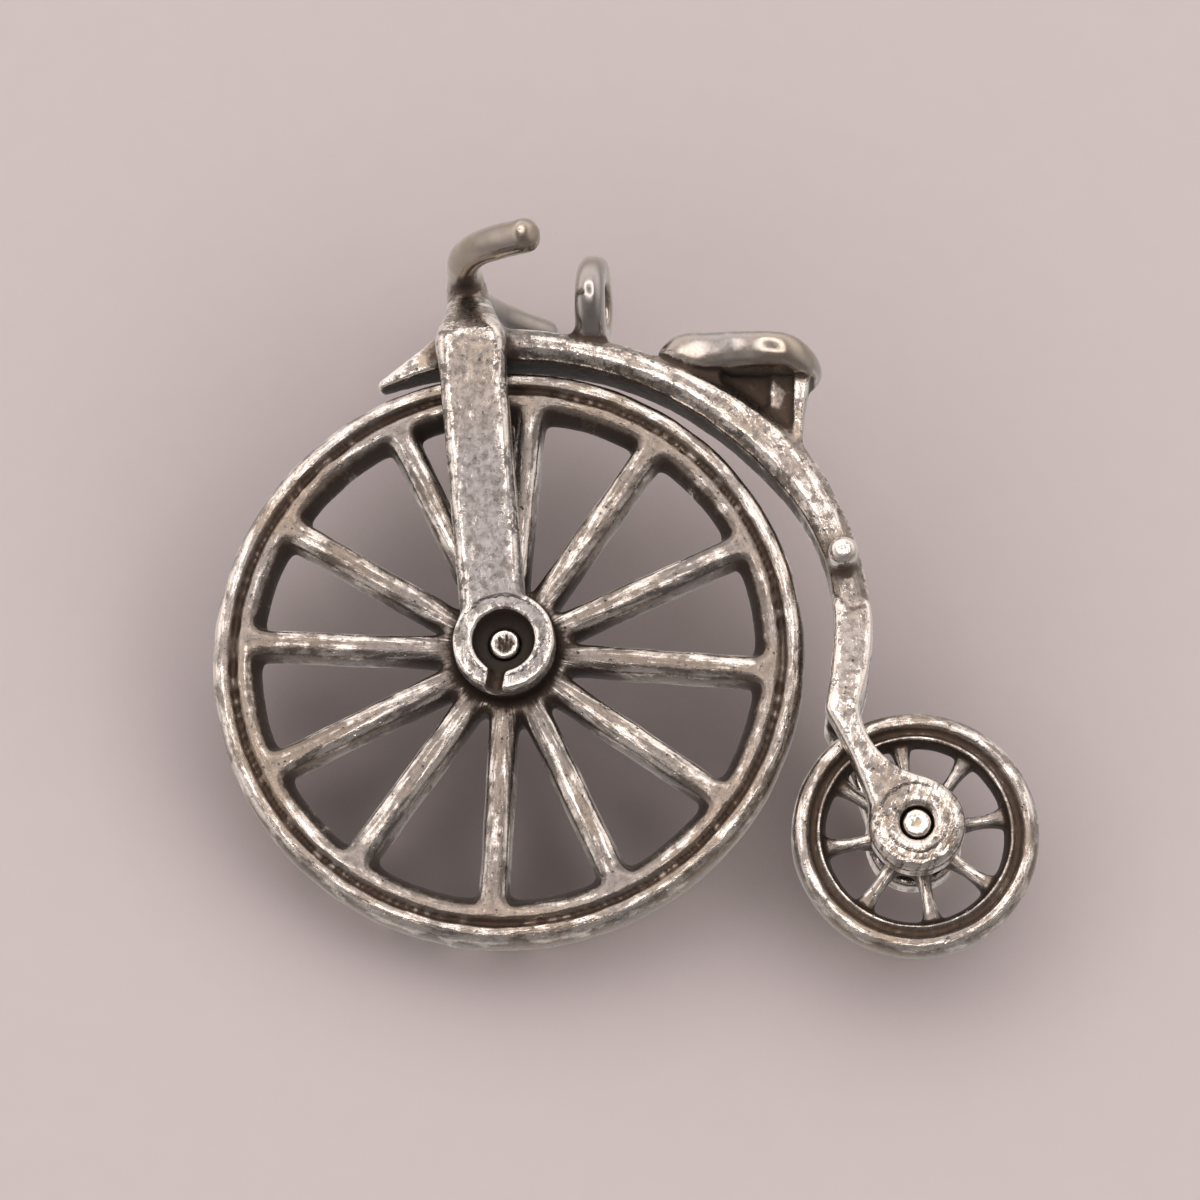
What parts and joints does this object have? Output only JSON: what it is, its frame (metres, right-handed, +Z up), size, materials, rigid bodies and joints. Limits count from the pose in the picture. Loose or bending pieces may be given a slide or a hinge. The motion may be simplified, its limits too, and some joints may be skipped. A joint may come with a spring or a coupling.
{
  "type": "penny farthing bicycle charm",
  "caption": "Cast silver charm shaped as a penny farthing bicycle, with a large spoked front wheel and small rear wheel that turn on pins, a curved backbone, saddle, handlebar and hanging bail.",
  "frame": {"origin": "centre of the bail's hole, from which the charm hangs", "axes": "+Z up, the bicycle heads towards -X, +Y to its right; the wheels turn about Y and the bail's hole runs along X, turned 4.6 degrees about Z"},
  "size_m": [0.025, 0.0096, 0.022],
  "materials": {
    "cast_silver": "aged cast silver, pitted, dark in the recesses and bright on the edges",
    "wheel_silver": "aged cast silver, pitted, brown in the grooves",
    "polished_silver": "silver worn smooth",
    "pin_silver": "dull tarnished silver"
  },
  "bodies": {
    "frame": {"backbone": "cast_silver", "bail_loop": "polished_silver", "fork_leg_left": "cast_silver", "fork_leg_right": "cast_silver", "front_axle_pin": "pin_silver", "handlebar": "polished_silver", "rear_axle_pin": "pin_silver", "rear_fork_leg_left": "cast_silver", "rear_fork_leg_right": "cast_silver", "saddle": "polished_silver", "saddle_front_support": "cast_silver", "saddle_rear_post": "cast_silver", "steering_head": "cast_silver", "step_peg": "cast_silver"},
    "front_wheel": {"front_wheel": "wheel_silver"},
    "rear_wheel": {"rear_wheel": "wheel_silver"}
  },
  "joints": [
    {"name": "front_wheel_spin", "type": "hinge", "parent": "frame", "child": "front_wheel", "pos_m": [-0.00229, 0, -0.01139], "axis": [0, 1, 0], "continuous": true},
    {"name": "rear_wheel_spin", "type": "hinge", "parent": "frame", "child": "rear_wheel", "pos_m": [0.01003, 0, -0.01672], "axis": [0, 1, 0], "continuous": true}
  ]
}
